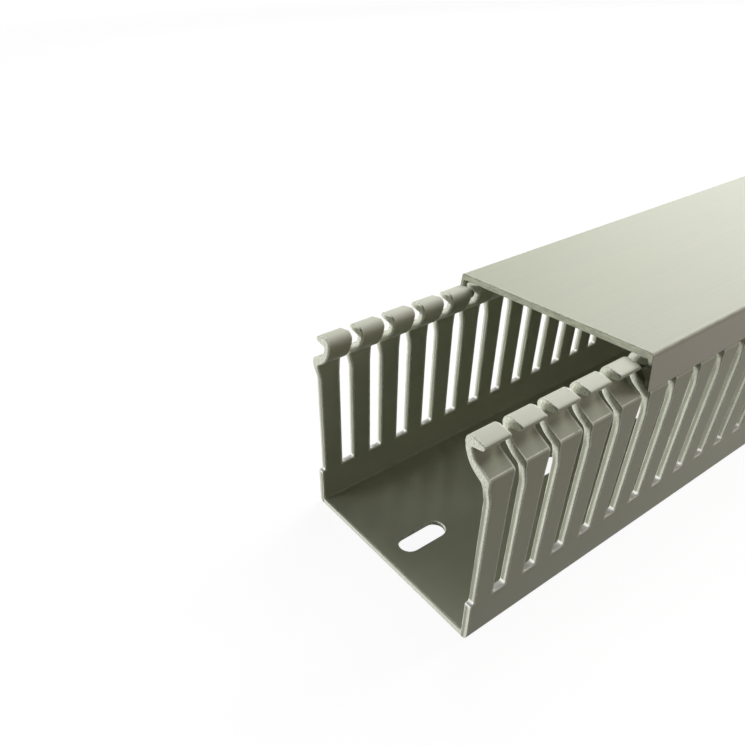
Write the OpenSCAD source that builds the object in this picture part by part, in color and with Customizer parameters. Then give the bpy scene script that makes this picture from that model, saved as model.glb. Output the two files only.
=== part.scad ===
// Slotted wiring duct with its clip-on cover: two PVC extrusions, sold by length.
// X runs along the duct, Y across it and Z up. The origin lies under the middle of the trough's base.
// The cover is drawn slid back along the duct, so the near end of the trough lies open.

/* [Duct] */
// Length of the duct and of its cover
duct_length = 1000; // [300:100:2000]
// Outer width of the trough
duct_width = 60; // [50:1:100]
// Height of the trough over the finger heads
trough_height = 56; // [50:0.5:100]
// Thickness of the side walls
wall_t = 1.7; // [1.4:0.1:2]
// Thickness of the base
base_t = 1.6; // [1.4:0.1:2.4]
// Radius of the two long edges under the base
base_edge_r = 1.2; // [0.8:0.1:1.6]

/* [Wall slots] */
// Distance from one wall slot to the next
slot_pitch = 10; // [9:0.5:14]
// Width of a wall slot
slot_width = 4; // [3:0.5:5]
// Height of the slot floor over the underside
slot_floor_z = 12; // [8:0.5:20]
// Corner radius at the slot floor
slot_floor_r = 0.6; // [0.3:0.1:1.2]
// Gap between neighbouring finger heads
throat_width = 2.1; // [1.6:0.1:2.6]
// Height of the taper between slot and throat
shoulder_h = 4; // [2:0.5:5]
// How far below the step the throat begins
throat_below_step = 2; // [1:0.5:3]
// Width left of the slot that the near end is sawn through
sawn_slot_left = 1; // [0.5:0.1:2]

/* [Finger heads] */
// Height of the head over the step that the cover's leg stands on
head_h = 7.7; // [7.5:0.1:8.5]
// How far the inside of the head stands in from the outside of the wall
head_depth = 7.4; // [7.2:0.1:8]
// Outer radius of the neck that curls in from the wall
curl_r = 8.3; // [8:0.1:9]
// Thickness of the neck
neck_t = 1.8; // [1.5:0.1:2.1]
// Slope of the step, as its rise over its run
step_slope = 0.58; // [0.4:0.02:0.7]
// Radius of the bead at the inner top edge
bead_r = 1.3; // [1.2:0.05:1.5]
// Radius of the head's nose, which the cover snaps behind
nose_r = 0.75; // [0.6:0.05:0.8]
// How far the nose stands in from the outside of the wall
nose_inset = 2.25; // [2.2:0.05:2.8]
// How far the top of the nose lies below the top of the bead
nose_drop = 0.55; // [0.4:0.05:0.8]

/* [Cover] */
// How far the cover is slid back from the near end
cover_slide = 49; // [0:1:200]
// Thickness of the cover's sheet
cover_t = 1.7; // [1.4:0.1:2]
// Thickness of the cover's legs
leg_t = 1; // [0.9:0.05:1.1]
// How far the top edge of the cover stands in from the outside of the wall
cover_inset = 1.4; // [1.3:0.05:1.5]
// How far the foot of a leg stands in from the outside of the wall
foot_inset = 0.25; // [0.2:0.05:0.4]
// Radius of the cover's long top edges
cover_edge_r = 0.8; // [0.4:0.1:1]
// How far the snap lip stands in from its leg
lip_depth = 1.2; // [0.8:0.1:1.3]
// Height of the snap lip where it leaves its leg
lip_h = 2.2; // [1.8:0.1:2.4]
// Height of the snap lip at its edge
lip_nose_h = 0.6; // [0.4:0.1:0.8]

/* [Fixing slots] */
// Distance of the first fixing slot's middle from the near end
fixing_first = 13; // [10:1:25]
// Distance from one fixing slot to the next
fixing_pitch = 50; // [25:5:100]
// Length of a fixing slot
fixing_length = 15; // [10:1:20]
// Width of a fixing slot
fixing_width = 6; // [4:0.5:8]

/* [Fit] */
// Running gap between the cover and the trough
fit_gap = 0.25; // [0.2:0.05:0.3]

/* [Hidden] */
$fn = 48;
duct_grey = [0.55, 0.56, 0.51];
cover_grey = [0.64, 0.65, 0.60];
// How far a cutter runs past the faces that it cuts
cut_over = 1;

// Section of the trough: distances from its middle plane, and heights over its underside
half_width = duct_width / 2;
wall_in_y = half_width - wall_t;
step_z = trough_height - head_h;
bead_centre = [half_width - head_depth + bead_r, trough_height - bead_r];
nose_centre = [half_width - nose_inset - nose_r, trough_height - nose_drop - nose_r];
// The curl meets the bead where both are upright
curl_centre = [half_width - head_depth + curl_r, bead_centre[1]];

// Section of the cover
cover_under_z = trough_height + fit_gap;
cover_top_z = cover_under_z + cover_t;
cover_top_y = half_width - cover_inset;
foot_y = half_width - foot_inset;
foot_z = step_z + step_slope * foot_inset + fit_gap * norm([1, step_slope]);
// How far a leg leans out for each millimetre down
leg_lean = (foot_y - cover_top_y) / (cover_top_z - foot_z);
lip_top_z = nose_centre[1] - nose_r - fit_gap;

// A bar from a to b, its sides the outer tangents of circles of radius ra and rb, with a round end at b
module link(a, ra, b, rb) {
  heading = atan2(b[1] - a[1], b[0] - a[0]);
  lean = acos((ra - rb) / norm(b - a));
  left = [cos(heading + lean), sin(heading + lean)];
  right = [cos(heading - lean), sin(heading - lean)];
  translate(b) circle(rb);
  polygon([a + ra * right, b + rb * right, b + rb * left, a + ra * left]);
}

// Draws a section on both sides of the middle plane
module both_sides() {
  children();
  mirror([1, 0]) children();
}

// Runs a section, drawn in the Y-Z plane, along X from a place counted from the near end
module run_along(start) {
  translate([start - duct_length / 2, 0, 0]) rotate([90, 0, 90]) linear_extrude(duct_length) children();
}

// The square corner outside one rounded long edge under the base
module base_edge_waste() {
  translate([half_width - base_edge_r, 0]) difference() {
    translate([0, -cut_over]) square(base_edge_r + cut_over);
    translate([0, base_edge_r]) circle(base_edge_r);
  }
}

// What lies under the slope of the step, as far in as the head reaches
module under_step() {
  polygon([
    [half_width + cut_over, step_z - step_slope * cut_over],
    [half_width - head_depth, step_z + step_slope * head_depth],
    [half_width - head_depth, 0],
    [half_width + cut_over, 0]
  ]);
}

// Step, curled neck and hooked bead that the wall ends in
module head_section() {
  difference() {
    intersection() {
      translate(curl_centre) circle(curl_r);
      translate([half_width - head_depth, curl_centre[1] - curl_r]) square([head_depth, curl_r]);
    }
    difference() {
      translate(curl_centre) circle(curl_r - neck_t);
      under_step();
    }
  }
  translate(bead_centre) circle(bead_r);
  link(bead_centre, bead_r, nose_centre, nose_r);
}

// The whole trough in section, before the slots are punched
module trough_section() {
  difference() {
    translate([-half_width, 0]) square([duct_width, step_z]);
    translate([-wall_in_y, base_t]) square([2 * wall_in_y, trough_height]);
    both_sides() base_edge_waste();
  }
  both_sides() head_section();
}

// Outline of one wall slot: flat floor, straight sides, tapered shoulders, narrow throat open at the top
module wall_slot() {
  throat_z = step_z - throat_below_step;
  shoulder_z = throat_z - shoulder_h;
  for (side = [-1, 1])
    translate([side * (slot_width / 2 - slot_floor_r), slot_floor_z + slot_floor_r]) circle(slot_floor_r);
  translate([slot_floor_r - slot_width / 2, slot_floor_z]) square([slot_width - 2 * slot_floor_r, slot_floor_r]);
  translate([-slot_width / 2, slot_floor_z + slot_floor_r])
    square([slot_width, shoulder_z - slot_floor_z - slot_floor_r]);
  polygon([
    [-slot_width / 2, shoulder_z],
    [slot_width / 2, shoulder_z],
    [throat_width / 2, throat_z],
    [-throat_width / 2, throat_z]
  ]);
  translate([-throat_width / 2, throat_z]) square([throat_width, trough_height + cut_over - throat_z]);
}

module trough() {
  first_slot = sawn_slot_left - slot_width / 2;
  last_slot = duct_length + slot_width / 2;
  last_fixing = duct_length - fixing_first;
  color(duct_grey)
    difference() {
      run_along(0) trough_section();
      translate([-duct_length / 2, 0, 0]) {
        for (x = [first_slot : slot_pitch : last_slot])
          translate([x, 0, 0]) rotate([90, 0, 0])
            linear_extrude(duct_width + 2 * cut_over, center = true) wall_slot();
        for (x = [fixing_first : fixing_pitch : last_fixing])
          translate([x, 0, -cut_over]) linear_extrude(base_t + 2 * cut_over) fixing_slot();
      }
    }
}

// Outline of one slot in the base for a fixing screw
module fixing_slot() {
  ends = (fixing_length - fixing_width) / 2;
  translate([-ends, 0]) circle(fixing_width / 2);
  link([-ends, 0], fixing_width / 2, [ends, 0], fixing_width / 2);
}

// Distance of a leg's inner face from the middle plane at height z
function leg_in_y(z) = cover_top_y + leg_lean * (cover_top_z - z) - leg_t;

// The cover in section: a sheet, and on each side a leg that leans out, with its foot and snap lip
module cover_section() {
  outward = [1, leg_lean] / norm([1, leg_lean]);
  edge_y = cover_top_y + leg_lean * cover_edge_r - cover_edge_r * norm([1, leg_lean]);
  edge_centre = [edge_y, cover_top_z - cover_edge_r];
  foot_run = leg_t / (1 - leg_lean * step_slope);
  right_side = [
    [edge_y, cover_top_z],
    edge_centre,
    edge_centre + cover_edge_r * outward,
    [foot_y, foot_z],
    [foot_y - foot_run, foot_z + step_slope * foot_run],
    [leg_in_y(lip_top_z - lip_h), lip_top_z - lip_h],
    [leg_in_y(lip_top_z) - lip_depth, lip_top_z - lip_nose_h],
    [leg_in_y(lip_top_z) - lip_depth, lip_top_z],
    [leg_in_y(lip_top_z), lip_top_z],
    [leg_in_y(cover_under_z), cover_under_z]
  ];
  left_side = [for (p = right_side) [-p[0], p[1]]];
  polygon(concat([for (i = [len(right_side) - 1 : -1 : 0]) right_side[i]], left_side));
  for (side = [-1, 1]) translate([side * edge_centre[0], edge_centre[1]]) circle(cover_edge_r);
}

module cover() {
  color(cover_grey) run_along(cover_slide) cover_section();
}

trough();
cover();
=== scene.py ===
# A length of slotted wiring duct in grey PVC: a punched trough and its clip-on cover, slid back from one end.
# Lengths are in millimetres until a mesh is made. X runs along the duct, Y across it and Z up.
import math

import bmesh
import bpy
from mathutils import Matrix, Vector
from mathutils.geometry import intersect_line_sphere_2d, tessellate_polygon


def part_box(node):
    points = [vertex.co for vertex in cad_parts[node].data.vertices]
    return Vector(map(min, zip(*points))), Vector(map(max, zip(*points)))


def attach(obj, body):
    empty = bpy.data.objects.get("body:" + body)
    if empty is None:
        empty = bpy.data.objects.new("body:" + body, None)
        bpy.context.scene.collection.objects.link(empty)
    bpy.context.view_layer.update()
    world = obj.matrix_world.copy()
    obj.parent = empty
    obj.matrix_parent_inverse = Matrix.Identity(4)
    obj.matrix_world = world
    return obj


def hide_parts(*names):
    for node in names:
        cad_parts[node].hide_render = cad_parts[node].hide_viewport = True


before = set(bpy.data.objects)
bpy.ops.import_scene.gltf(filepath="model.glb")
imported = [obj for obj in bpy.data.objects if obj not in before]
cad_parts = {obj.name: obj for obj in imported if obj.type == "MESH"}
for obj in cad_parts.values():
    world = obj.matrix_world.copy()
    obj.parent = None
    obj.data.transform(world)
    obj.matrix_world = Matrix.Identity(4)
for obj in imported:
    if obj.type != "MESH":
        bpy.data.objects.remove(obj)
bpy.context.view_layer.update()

# --- Trough ----------------------------------------------------------------------------------------------
# The open trough is extruded in grey PVC. A press then punches its walls into fingers, with a keyhole slot
# between each two, and its base for fixing screws. The wall ends in a curled neck and a hooked head.

MM = 0.001
trough_low, trough_high = [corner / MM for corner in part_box("trough")]
length = trough_high.x - trough_low.x
half_width, height = trough_high.y, trough_high.z
wall, base = 1.7, 1.6
wall_in = half_width - wall
long_edge_r, root_r = 1.2, 0.7

# Along the trough, counted from its near end. The head reaches less far on one side of its finger.
pitch = 10.0
fingers = round(length / pitch)
first_finger = 4.0
finger_half = 3.0
head_left, head_right = 3.95, 3.25

# Up the wall: the slot's floor with its round corners, then the taper from the finger to its head.
slot_floor, floor_r = 12.0, 0.6
foot_half = finger_half + floor_r
shoulder_low, shoulder_high = 42.3, 46.3

# The head in section, as distances from the middle plane and heights. The knee is the outer edge of the step
# that the cover stands on. The neck lies between the curl on the inside and the groove on the outside.
knee = Vector((half_width, height - 7.7))
step_slope = 0.58
head_depth = 7.4
bead_r, nose_r = 1.8, 0.75
bead = Vector((half_width - head_depth + bead_r, height - bead_r))
nose = Vector((half_width - 3.0, height - 1.3))
curl_r, groove_r = 8.3, 6.5
curl_centre = Vector((half_width - head_depth + curl_r, nose.y))


def towards(heading):
    """A step of length 1 in a plane, at a heading in degrees."""
    return Vector((math.cos(math.radians(heading)), math.sin(math.radians(heading))))


def arc(centre, radius, start, stop, steps):
    """Points on an arc in a plane, from one heading to another."""
    return [centre + radius * towards(start + (stop - start) * i / steps) for i in range(steps + 1)]


def bend(a, corner, b, steps):
    """A smooth bend from a to b that leaves and arrives along the lines to their corner."""
    return [a.lerp(corner, i / steps).lerp(corner.lerp(b, i / steps), i / steps) for i in range(steps + 1)]


def leaves_circle(start, way, centre, radius):
    """Where a line that is followed from its start leaves a circle, and the heading of that place."""
    place = intersect_line_sphere_2d(start, start + way, centre, radius, False)[0]
    return place, math.degrees(math.atan2(place.y - centre.y, place.x - centre.x)) % 360


class Shell:
    """Faces that share a corner wherever two of them meet, gathered into one closed mesh."""

    def __init__(self):
        self.corners, self.faces, self.finish = {}, [], []

    def face(self, *points, finish=0):
        """One face, less the corners that coincide."""
        ids = []
        for point in points:
            key = tuple(round(value, 3) for value in point)
            corner = self.corners.setdefault(key, len(self.corners))
            if corner not in ids:
                ids.append(corner)
        if len(ids) > 2:
            self.faces.append(ids)
            self.finish.append(finish)

    def cap(self, points, finish=0):
        """Closes a flat outline, which may be hollow, with triangles."""
        for triangle in tessellate_polygon([[Vector(point) for point in points]]):
            self.face(*[points[i] for i in triangle], finish=finish)

    def collar(self, border, hole, middle):
        """Triangles between a border and the hole in it, taken in turn by their heading from X = middle."""
        def heading(point):
            return math.atan2(point[1], point[0] - middle) % math.tau

        last = [max(border, key=heading), max(hole, key=heading)]
        for point in sorted(border + hole, key=heading):
            self.face(*last, point)
            last[point in hole] = point

    def strip(self, one, other, finish=0):
        """Quads between two rows of points."""
        for i in range(len(one) - 1):
            self.face(one[i], one[i + 1], other[i + 1], other[i], finish=finish)

    def piece(self, name, body, start):
        """The finished object, its near end at X = start, with an edge sharp where its faces meet steeply."""
        steep = math.radians(28)
        mesh = bpy.data.meshes.new(name)
        mesh.from_pydata([((start + x) * MM, y * MM, z * MM) for x, y, z in self.corners], [], self.faces)
        mesh.polygons.foreach_set("material_index", self.finish)
        solid = bmesh.new()
        solid.from_mesh(mesh)
        bmesh.ops.recalc_face_normals(solid, faces=solid.faces)
        for edge in solid.edges:
            edge.smooth = len(edge.link_faces) == 2 and edge.calc_face_angle() < steep
        solid.to_mesh(mesh)
        solid.free()
        mesh.polygons.foreach_set("use_smooth", [True] * len(mesh.polygons))
        made = bpy.data.objects.new(name, mesh)
        bpy.context.scene.collection.objects.link(made)
        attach(made, body)
        return made


# The two faces of the wall above the slots, with as many points in one as in the other: the outer face climbs
# over the knee, the step, the groove and the underside of the hook, the inner one over the curl and the bead.
step_way = Vector((-1, step_slope)).normalized()
slope_end, groove_low = leaves_circle(knee, step_way, curl_centre, groove_r)
groove_top = 190.739
groove = arc(curl_centre, groove_r, groove_low, groove_top, 8)
hook_root = groove[-1]
root, curl_low = leaves_circle(Vector((wall_in, height)), Vector((0, -1)), curl_centre, curl_r)
curl = arc(curl_centre, curl_r, curl_low, 180, 11)

# The hook's top and underside slope down and up to the nose, whose front has three blunt corners.
hook_lean = 79.8
bead_top = bead + bead_r * towards(hook_lean)
nose_under = nose + nose_r * towards(-hook_lean)
nose_front = nose + Vector((nose_r - 0.14, -0.55))
nose_tip = nose + Vector((nose_r, 0.1))
nose_edge = nose + Vector((nose_r - 0.06, 0.62))

knee_bend, root_bend = 0.6, 1.3
outer_head = (
    bend(knee - Vector((0, knee_bend)), knee, knee + step_way * knee_bend, 4)
    + [knee.lerp(slope_end, 0.6)]
    + bend(knee.lerp(slope_end, 0.85), slope_end, groove[2], 2)
    + groove[3:7]
    + bend(groove[7], hook_root, hook_root.lerp(nose_under, 0.15), 2)
    + [hook_root.lerp(nose_under, 0.6)]
    + bend(nose_under, nose_front, nose_front.lerp(nose_tip, 0.5), 5)
)
inner_head = (
    bend(root - Vector((0, root_bend)), root, curl[1].lerp(curl[2], 0.3), 4)
    + curl[2:10]
    + arc(bead, bead_r, 180, hook_lean, 6)[0:6]
    + bend(bead_top.lerp(nose_edge, 0.82), nose_edge, nose_edge.lerp(nose_tip, 0.7), 3)
)

# Each cut edge is rolled over by the press, more on the outside where the punch went in, and more on the
# head, where the inner roll grows from point to point. Where the wall is thin, a roll takes a share of it
# at most.
outer_roll, inner_roll, head_roll = 0.18, 0.12, 0.3
head_roll_step = 0.03
largest_share = 0.35


def finger_ring(middle, side, outer, inner, turn=90.0, rolls=(outer_roll, inner_roll)):
    """Eight corners round a finger, through a point on its outer face and one on its inner face.

    Turn runs from 0 at the slot's floor to 90 where the round corner of the floor ends.
    """
    slant = math.radians(turn)
    foot = floor_r * (1 - math.sin(slant))
    through = inner - outer
    corners = []
    for way, head in ((-1, head_left), (1, head_right)):
        pairs = []
        for place, inward, roll in ((outer, through, rolls[0]), (inner, -through, rolls[1])):
            roll = min(roll, largest_share * through.length)
            rise = min(max((place.y - shoulder_low) / (shoulder_high - shoulder_low), 0.0), 1.0)
            reach = finger_half + foot + (head - finger_half) * rise
            flat_x, flat_z = reach - roll * math.sin(slant), place.y - roll * math.cos(slant)
            cut = place + inward.normalized() * roll
            pairs.append([(middle + way * flat_x, side * place.x, flat_z),
                          (middle + way * reach, side * cut.x, cut.y)])
        edge = pairs[0] + pairs[1][::-1]
        corners += edge if way < 0 else edge[::-1]
    return corners


# The finishes of a face: as the die drew it, or as the press or the saw cut it. Two sides of a ring are
# drawn, and the other six are cut.
DRAWN, CUT = 0, 1
drawn_sides = (3, 7)

# Rows of a finger under its head as (height outside, height inside, turn): round foot, then both ends of the
# taper. The taper ends lower on the inside, where the curl starts lower too.
taper_bend = 0.3
foot_rows = [(slot_floor + floor_r * (1 - math.cos(math.radians(turn))), turn) for turn in (0, 30, 60, 90)]
foot_rows += [(shoulder_low - taper_bend, 90), (shoulder_low + taper_bend, 90)]
wall_rows = [(z, z, turn) for z, turn in foot_rows]
wall_rows.append((shoulder_high - taper_bend, shoulder_high - 1.3, 90))
wall_rows.append((shoulder_high + 0.2, shoulder_high - 1.0, 90))

shell = Shell()
for side in (-1, 1):
    for number in range(fingers):
        middle = first_finger + number * pitch
        rings = [finger_ring(middle, side, Vector((half_width, out_z)), Vector((wall_in, in_z)), turn)
                 for out_z, in_z, turn in wall_rows]
        for i, (outer, inner) in enumerate(zip(outer_head, inner_head)):
            inside_roll = min(inner_roll + head_roll_step * i, head_roll)
            rings.append(finger_ring(middle, side, outer, inner, rolls=(outer_roll, inside_roll)))
        for low, high in zip(rings, rings[1:]):
            for i in range(8):
                j = (i + 1) % 8
                shell.face(low[i], low[j], high[j], high[i], finish=DRAWN if i in drawn_sides else CUT)
        shell.face(*rings[-1], finish=DRAWN)

# The channel under the slots, cut into columns where the feet of the fingers end. Its two skins leave out a
# plate in the middle of the base wherever a fixing slot is punched.
columns = [0.0]
for number in range(fingers):
    middle = first_finger + number * pitch
    columns += [middle - foot_half, middle + foot_half]
columns.append(length)

plate_half = 5.0
outer_skin = [Vector((half_width, slot_floor - outer_roll))]
outer_skin += arc(Vector((half_width - long_edge_r, long_edge_r)), long_edge_r, 0, -90, 6)
outer_skin += [Vector((plate_half, 0))]
inner_skin = [Vector((wall_in, slot_floor - inner_roll))]
inner_skin += arc(Vector((wall_in - root_r, base + root_r)), root_r, 0, -90, 5)
inner_skin += [Vector((plate_half, base))]
for skin in (outer_skin, inner_skin):
    skin += [Vector((-p.x, p.y)) for p in reversed(skin)]
floor_band = [outer_skin[0], Vector((half_width - outer_roll, slot_floor)),
              Vector((wall_in + inner_roll, slot_floor)), inner_skin[0]]


def at(x, points, side=1):
    """A section's points in the plane at distance x from the near end."""
    return [(x, side * p.x, p.y) for p in points]


# A plate is as long as three fingers and the two slots between them.
fixing_first, fixing_pitch = 13.0, 50.0
fixing_length, fixing_width = 15.0, 6.0
plate_columns = 6
plate_start, plate_end = columns[1], columns[plate_columns]

for i, (start, stop) in enumerate(zip(columns, columns[1:])):
    punched = plate_start < (start + stop) / 2 % fixing_pitch < plate_end
    for skin in (outer_skin, inner_skin):
        half = len(skin) // 2
        for part in (skin[:half], skin[half:]) if punched else (skin,):
            shell.strip(at(start, part), at(stop, part), DRAWN)
    under_slot = i % 2 == 0
    if under_slot:
        for side in (-1, 1):
            shell.strip(at(start, floor_band, side), at(stop, floor_band, side), CUT)
for x in (0.0, length):
    left, right = at(x, floor_band[1:3], -1), at(x, floor_band[1:3])
    shell.cap([*at(x, outer_skin), *left, *reversed(at(x, inner_skin)), *reversed(right)], CUT)


def stadium(x, grow, z):
    """The outline of a fixing slot with its middle at x, grown by some distance, at height z."""
    reach, radius = (fixing_length - fixing_width) / 2, fixing_width / 2 + grow
    ends = arc(Vector((x + reach, 0)), radius, -90, 90, 12) + arc(Vector((x - reach, 0)), radius, 90, 270, 12)
    return [(p.x, p.y, z) for p in ends]


for number in range(round(length / fixing_pitch)):
    x = fixing_first + number * fixing_pitch
    first_column = 1 + 2 * round(number * fixing_pitch / pitch)
    plate = columns[first_column:first_column + plate_columns]
    outlines = [stadium(x, inner_roll, base), stadium(x, 0, base - inner_roll), stadium(x, 0, outer_roll),
                stadium(x, outer_roll, 0)]
    for one, other in zip(outlines, outlines[1:]):
        shell.strip(one + one[:1], other + other[:1], CUT)
    for outline, z in ((outlines[0], base), (outlines[-1], 0.0)):
        shell.collar([(value, side * plate_half, z) for value in plate for side in (-1, 1)], outline, x)


class Value:
    """A shader socket that sums like a number: each operator adds the Math node that it needs."""

    def __init__(self, tree, socket):
        self.tree, self.socket = tree, socket

    def node(self, kind, settings=(), output=0, **sockets):
        """Adds a node with its settings, then its socket values or links. A number after _ is an index."""
        made = self.tree.nodes.new("ShaderNode" + kind)
        for name, value in dict(settings).items():
            setattr(made, name, value)
        for name, value in sockets.items():
            socket = made.inputs[int(name[1:]) if name[1:].isdigit() else name.replace("_", " ")]
            if isinstance(value, Value):
                self.tree.links.new(value.socket, socket)
            else:
                socket.default_value = value
        return Value(self.tree, made.outputs[output])

    def maths(self, operation, *values):
        """Adds a Math node."""
        sockets = {f"_{i}": value for i, value in enumerate(values)}
        return self.node("Math", {"operation": operation}, **sockets)

    def __add__(self, other):
        return self.maths("ADD", self, other)

    def __sub__(self, other):
        return self.maths("SUBTRACT", self, other)

    def __rsub__(self, other):
        return self.maths("SUBTRACT", other, self)

    def __mul__(self, other):
        return self.maths("MULTIPLY", self, other)

    def __truediv__(self, other):
        return self.maths("DIVIDE", self, other)

    def __mod__(self, other):
        return self.maths("FLOORED_MODULO", self, other)

    def __abs__(self):
        return self.maths("ABSOLUTE", self)

    __radd__, __rmul__ = __add__, __mul__

    def least(self, other):
        return self.maths("MINIMUM", self, other)

    def most(self, other):
        return self.maths("MAXIMUM", self, other)

    def ramp(self, low, high, start=0.0, stop=1.0):
        """Runs smoothly from start, where this is low, to stop, where it is high."""
        return self.node("MapRange", {"interpolation_type": "SMOOTHSTEP"}, Value=self, _1=low, _2=high,
                         _3=start, _4=stop)

    def times(self, x, y, z):
        """This vector with each part scaled by its own number."""
        return self.node("VectorMath", {"operation": "MULTIPLY"}, _0=self, _1=(x, y, z))

    def length(self):
        """How long this vector is."""
        return self.node("VectorMath", {"operation": "LENGTH"}, output=1, _0=self)

    def parts(self):
        """The X, Y and Z of this vector."""
        split = self.node("SeparateXYZ", Vector=self).socket.node
        return [Value(self.tree, socket) for socket in split.outputs]

    def noise(self, detail=2.0, roughness=0.5):
        """Noise from 0 to 1 at this place, with lumps about 1 across."""
        return self.node("TexNoise", Vector=self, Scale=1.0, Detail=detail, Roughness=roughness)

    def tint(self, one, other):
        """One colour where this is 0 and the other where it is 1."""
        return self.node("Mix", {"data_type": "RGBA"}, output=2, _0=self, _6=one, _7=other)


def shade(levels):
    """A colour that is given as it looks on a screen, from 0 to 255."""
    return [((level / 255 + 0.055) / 1.055) ** 2.4 for level in levels] + [1.0]


PVC = shade((178, 181, 160))
PVC_DEEP = shade((171, 174, 153))
# Pale colour for stress whitening, wear and pale streaks, and for painted highlights.
PVC_WHITENED_AND_HIGHLIGHT = shade((232, 234, 220))
# White of the slot floor, with painted light in it.
SLOT_WHITE_AND_LIT = shade((250, 251, 246))
PVC_CUT = shade((190, 193, 176))
# Painted shade inside the slots.
PVC_CUT_SHADE = shade((136, 138, 122))
pvc_gloss = 0.12


def pvc_start(name):
    """A new material, its shader, and the place on the object in millimetres."""
    material = bpy.data.materials.new(name)
    material.use_nodes = True
    shader = material.node_tree.nodes["Principled BSDF"]
    place = Value(material.node_tree, None).node("TexCoord", output=3).times(1 / MM, 1 / MM, 1 / MM)
    return material, shader, place


def pvc_finish(shader, colour, roughness, relief, depth):
    """Joins up the shader. Relief runs from 0 to 1, and depth is how deep that is in millimetres."""
    tree = colour.tree
    tree.links.new(colour.socket, shader.inputs["Base Color"])
    tree.links.new(roughness.socket, shader.inputs["Roughness"])
    bump = relief.node("Bump", Strength=1.0, Distance=depth * MM, Height=relief)
    tree.links.new(bump.socket, shader.inputs["Normal"])
    shader.inputs["Specular IOR Level"].default_value = pvc_gloss


def drawn_skin(place):
    """What the extruder's die leaves: fine lines along the duct over soft mottling. Both run from 0 to 1."""
    lines = place.times(0.012, 2.2, 2.2).noise(detail=3.0, roughness=0.65)
    mottling = place.times(0.03, 0.07, 0.07).noise(detail=3.0)
    return lines, mottling


# The drawn skin of the trough, paler in thin lines along each slot and along the sawn ends, where stress
# whitening from the press carries a painted edge highlight. A painted highlight runs over the knee and over
# the tops of the heads.
drawn_relief, ragged_reach = 0.008, 0.8
crease_z, head_face_z = knee.y + 0.24, knee.y + 4.5
trough_skin, shader, place = pvc_start("pvc_trough")
x, y, z = place.parts()
lines, mottling = drawn_skin(place)
ragged = place.times(0.9, 0.9, 0.9).noise(detail=3.0, roughness=0.7)
along = x - trough_low.x
beside = (along - (first_finger - pitch / 2)) % pitch - pitch / 2
rise = ((z - shoulder_low) / (shoulder_high - shoulder_low)).least(1.0).most(0.0)
inward_left = beside + (head_left - finger_half) * rise + finger_half
inward_right = (head_right - finger_half) * rise + finger_half - beside
inward = inward_left.least(inward_right).most(slot_floor - z).least(along).least(length - along)
# Painted edge highlight over stress whitening: paler thin lines along each slot and along the sawn ends.
edge_whitening_and_highlight = (inward - ragged * ragged_reach).ramp(-0.12, 0.3, 1.0, 0.0)
# A painted highlight along the crease at the knee.
crease_highlight = abs(z - crease_z).ramp(0.05, 0.14, 1.0, 0.0) * abs(y).ramp(half_width - 1.4, half_width - 0.9)
crease_highlight = crease_highlight * ragged.ramp(0.25, 0.5)
# A painted highlight on the tops of the heads.
head_top_highlight = z.ramp(head_face_z, head_face_z + 2.0) * 0.35
colour = (lines * 0.3 + mottling * 0.7).ramp(0.3, 0.7).tint(PVC_DEEP, PVC)
colour = (edge_whitening_and_highlight * 0.95).most(crease_highlight * 0.8).most(head_top_highlight).tint(colour, PVC_WHITENED_AND_HIGHLIGHT)
roughness = lines * 0.06 + mottling * 0.16 + 0.32 + edge_whitening_and_highlight * 0.2
pvc_finish(shader, colour, roughness, lines * 0.5 + ragged * 0.5, drawn_relief)

# The punched and sawn faces: rougher and paler, torn in streaks that follow the cut, with painted shade in a
# dull band part of the way through the wall. The slot's floor is the whitest: stress whitening with painted
# light over it.
cut_relief = 0.06
shade_outside, shade_inside = 0.6, 1.65
cut_skin, shader, place = pvc_start("pvc_cut")
x, y, z = place.parts()
streaks = place.times(0.5, 3.5, 0.12).noise(detail=4.0, roughness=0.7)
grain = place.times(3.0, 3.0, 3.0).noise(detail=2.0)
through = (half_width - abs(y)) + (streaks - 0.5) * 0.8
# Painted shade in a band part of the way through the wall, fading out over the heads.
slot_shade = through.ramp(shade_outside, shade_outside + 0.35) * through.ramp(shade_inside, shade_inside - 0.2)
slot_shade = slot_shade * streaks.ramp(0.3, 0.5, 0.6, 1.0) * z.ramp(shoulder_high + 2.0, shoulder_low)
# Painted light on the slot's floor, over its stress whitening.
floor_whitening_and_light = abs(z - slot_floor).ramp(0.35, 0.9, 1.0, 0.0)
colour = (streaks * 0.5 + grain * 0.5).ramp(0.38, 0.62).tint(PVC_CUT, PVC_WHITENED_AND_HIGHLIGHT)
colour = (slot_shade * (1.0 - floor_whitening_and_light) * 0.85).tint(colour, PVC_CUT_SHADE)
colour = floor_whitening_and_light.tint(colour, SLOT_WHITE_AND_LIT)
roughness = streaks * 0.2 + grain * 0.1 + 0.45
pvc_finish(shader, colour, roughness, streaks * 0.6 + grain * 0.4, cut_relief)

trough = shell.piece("trough_shell", "trough", trough_low.x)
trough.data.materials.append(trough_skin)
trough.data.materials.append(cut_skin)
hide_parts("trough")

# --- Cover -----------------------------------------------------------------------------------------------
# The cover is a second extrusion of the same grey PVC, as long as the trough. Its two legs lean out, catch
# behind the noses of the heads with their lips, and stand on the steps. It lies slid back along the duct.

cover_low, cover_high = [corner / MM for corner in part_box("cover")]
cover_length = cover_high.x - cover_low.x
cover_top = cover_high.z
sheet, leg = 1.7, 1.0
running_gap = 0.25
top_corner = Vector((half_width - 1.4, cover_top))
foot = Vector((cover_high.y, 48.73))
leg_lean = (foot.x - top_corner.x) / (cover_top - foot.y)
foot_run = leg / (1 - leg_lean * step_slope)
lip_top = nose.y - nose_r - running_gap
lip_depth, lip_height, lip_edge = 1.2, 2.2, 0.6


def leg_inside(z, inward=0.0):
    """A point at height z on the inner face of a leg, or some distance in from it."""
    return Vector((top_corner.x + leg_lean * (cover_top - z) - leg - inward, z))


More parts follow.
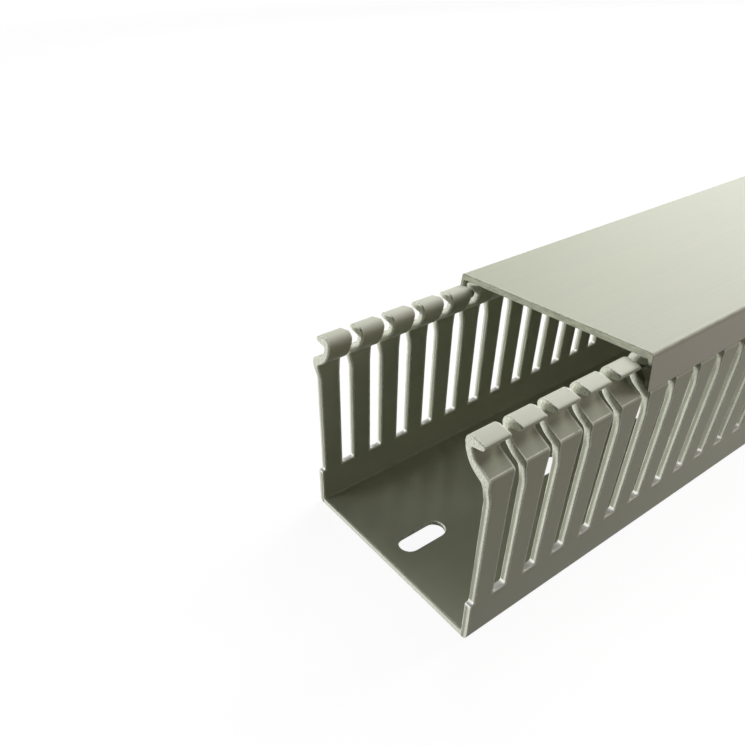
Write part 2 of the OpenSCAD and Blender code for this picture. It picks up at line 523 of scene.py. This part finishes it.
def rounded(corners):
    """A closed row of points through corners given as (point, how far back from it the bend starts)."""
    broad_bend = 0.3
    points = []
    for i, (corner, back) in enumerate(corners):
        before, after = corners[i - 1][0], corners[(i + 1) % len(corners)][0]
        a = corner + (before - corner).normalized() * back
        b = corner + (after - corner).normalized() * back
        points += bend(a, corner, b, 5 if back > broad_bend else 2)
    return points


half_section = [
    (top_corner, 0.75),
    (foot, 0.12),
    (foot + Vector((-foot_run, step_slope * foot_run)), 0.12),
    (leg_inside(lip_top - lip_height), 0.3),
    (leg_inside(lip_top - lip_edge, lip_depth), 0.15),
    (leg_inside(lip_top, lip_depth), 0.15),
    (leg_inside(lip_top), 0.2),
    (leg_inside(cover_top - sheet), 0.5),
]
section = rounded(half_section + [(Vector((-p.x, p.y)), back) for p, back in reversed(half_section)])


def sunk(points, depth):
    """The same closed section drawn in by some depth all round."""
    moved = []
    for before, point, after in zip(points[-1:] + points[:-1], points, points[1:] + points[:1]):
        way = (after - point).normalized() + (point - before).normalized()
        moved.append(point + Vector((way.y, -way.x)).normalized() * depth)
    return moved


# The saw rounds the edge of each end a little.
saw_roll = 0.12
shell = Shell()
rows = [at(0.0, sunk(section, saw_roll)), at(saw_roll, section), at(cover_length - saw_roll, section),
        at(cover_length, sunk(section, saw_roll))]
for one, other, finish in zip(rows, rows[1:], (CUT, DRAWN, CUT)):
    shell.strip(one + one[:1], other + other[:1], finish)
shell.cap(rows[0], CUT)
shell.cap(rows[-1], CUT)

# Painted light on the cover's legs.
PVC_LEG_LIT = shade((214, 209, 198))
PVC_SAWN = shade((140, 142, 126))

# The cover's skin has the die's lines, painted light that makes its legs under its long edges paler and
# warmer, and paler edges where it has rubbed.
cover_skin, shader, place = pvc_start("pvc_cover")
x, y, z = place.parts()
lines, mottling = drawn_skin(place)
ragged = place.times(0.25, 1.2, 1.2).noise(detail=4.0, roughness=0.7)
edge = abs(y).ramp(top_corner.x - 0.9, top_corner.x - 0.2) * z.ramp(cover_top - 1.1, cover_top - 0.3)
end = (x - cover_low.x).least(cover_high.x - x).ramp(0.15, 0.8, 1.0, 0.0)
worn = (edge * 0.6).most(end) * ragged.ramp(0.35, 0.65)
# Painted light makes the legs paler and warmer.
leg_light = z.ramp(cover_top - 0.5, cover_top - 1.6)
colour = (lines * 0.5 + mottling * 0.5).ramp(0.3, 0.7).tint(PVC_DEEP, PVC)
colour = (leg_light * 0.6).tint(colour, PVC_LEG_LIT)
colour = (worn * 0.6).tint(colour, PVC_WHITENED_AND_HIGHLIGHT)
roughness = lines * 0.06 + mottling * 0.14 + 0.32 + worn * 0.1
pvc_finish(shader, colour, roughness, lines * 0.7 + ragged * 0.3, drawn_relief)

# Its ends are sawn, and coloured darker than the punched slots.
saw_relief = 0.02
sawn_skin, shader, place = pvc_start("pvc_sawn")
marks = place.times(0.5, 0.6, 2.5).noise(detail=3.0, roughness=0.6)
colour = marks.ramp(0.3, 0.7).tint(PVC_SAWN, PVC_DEEP)
pvc_finish(shader, colour, marks * 0.2 + 0.4, marks, saw_relief)

cover = shell.piece("cover_shell", "cover", cover_low.x)
cover.data.materials.append(cover_skin)
cover.data.materials.append(sawn_skin)
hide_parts("cover")

# --- Floor and light -------------------------------------------------------------------------------------
# A plain white floor runs out to a white surround. Broad lamps beyond the far end rake the tops, and a low
# one behind the near end lights the sawn and punched faces, so the walls and the inside stay deep.

BLACK, WHITE = (0.0, 0.0, 0.0, 1.0), (1.0, 1.0, 1.0, 1.0)
FLOOR_GREY = (0.2, 0.2, 0.17, 1.0)
SHADOW_GREY = (0.1, 0.1, 0.1, 1.0)
floor_reach = 60.0
floor_glow = 0.93
shadow_near, shadow_far = 1.0, 4.0
surround_light = 0.045


def background_rays(tree):
    """1 for the rays that show the background: straight from the camera, off a gloss or through glass."""
    rays = Value(tree, None).node("LightPath").socket.node.outputs
    seen = [Value(tree, rays[name]) for name in ("Is Camera Ray", "Is Glossy Ray", "Is Transmission Ray")]
    return (seen[0] + seen[1] + seen[2]).least(1.0)


mesh = bpy.data.meshes.new("floor")
mesh.from_pydata([(-floor_reach, -floor_reach, 0), (floor_reach, -floor_reach, 0),
                  (floor_reach, floor_reach, 0), (-floor_reach, floor_reach, 0)], [], [(0, 1, 2, 3)])
floor = bpy.data.objects.new("floor", mesh)
bpy.context.scene.collection.objects.link(floor)

# The floor glows white but for a faint part that takes the object's shadow, and that part fades out between
# two distances in metres.
material = bpy.data.materials.new("floor")
material.use_nodes = True
tree = material.node_tree
shader = tree.nodes["Principled BSDF"]
seen = background_rays(tree)
pale = seen.tint(FLOOR_GREY, SHADOW_GREY)
tree.links.new(pale.socket, shader.inputs["Base Color"])
shader.inputs["Roughness"].default_value = 1.0
shader.inputs["Specular IOR Level"].default_value = 0.0
away = seen.node("TexCoord", output=3).length().ramp(shadow_near, shadow_far, floor_glow, 1.0)
glow = (seen * away).tint(BLACK, WHITE)
tree.links.new(glow.socket, shader.inputs["Emission Color"])
shader.inputs["Emission Strength"].default_value = 1.0
mesh.materials.append(material)

surround = bpy.data.worlds.new("surround")
bpy.context.scene.world = surround
surround.use_nodes = True
sky = surround.node_tree.nodes["Background"]
strength = background_rays(surround.node_tree).ramp(0.0, 1.0, surround_light, 1.0)
surround.node_tree.links.new(strength.socket, sky.inputs["Strength"])
sky.inputs["Color"].default_value = WHITE


def lamp(name, heading, rise, watts, colour=WHITE[:3], size=(0.9, 0.9), reach=2.0, target=(-0.42, 0.0, 0.03)):
    """A soft lamp at some reach from its target: its heading from +X to +Y, then its rise, in degrees."""
    across, up = towards(heading), towards(rise)
    way = Vector((across.x * up.x, across.y * up.x, up.y))
    light = bpy.data.lights.new(name, "AREA")
    light.shape = "RECTANGLE"
    light.size, light.size_y = size
    light.energy, light.color = watts, colour
    made = bpy.data.objects.new(name, light)
    bpy.context.scene.collection.objects.link(made)
    made.location = Vector(target) + way * reach
    made.rotation_euler = (-way).to_track_quat("-Z", "Y").to_euler()


lamp("far_key", 0, 40, 30.0)
lamp("far_side", 30, 40, 17.0)
lamp("far_low", 20, 20, 5.0)
lamp("near_low", 154, 4, 35.0, size=(0.9, 0.25))
lamp("side_low", 45, 12, 2.5)
lamp("warm_side", -52, 22, 0.7, (1.0, 0.85, 0.79), (0.25, 0.25), 0.5, (-0.29, 0.0, 0.03))

# --- Camera ----------------------------------------------------------------------------------------------
# The camera stands close to the near end, above and outside one wall. It looks along the duct, which runs off
# the right-hand side of the view.

camera = bpy.data.objects.new("camera", bpy.data.cameras.new("camera"))
bpy.context.scene.collection.objects.link(camera)
camera.location = (-0.57229, -0.08711, 0.12629)
camera.rotation_euler = [math.radians(turn) for turn in (53.073, 2.259, -34.502)]
camera.data.lens = 30.216
camera.data.clip_start = 0.005
camera.data.shift_x = 0.0608
camera.data.shift_y = 0.0872
bpy.context.scene.camera = camera
bpy.context.scene.view_settings.view_transform = "Standard"
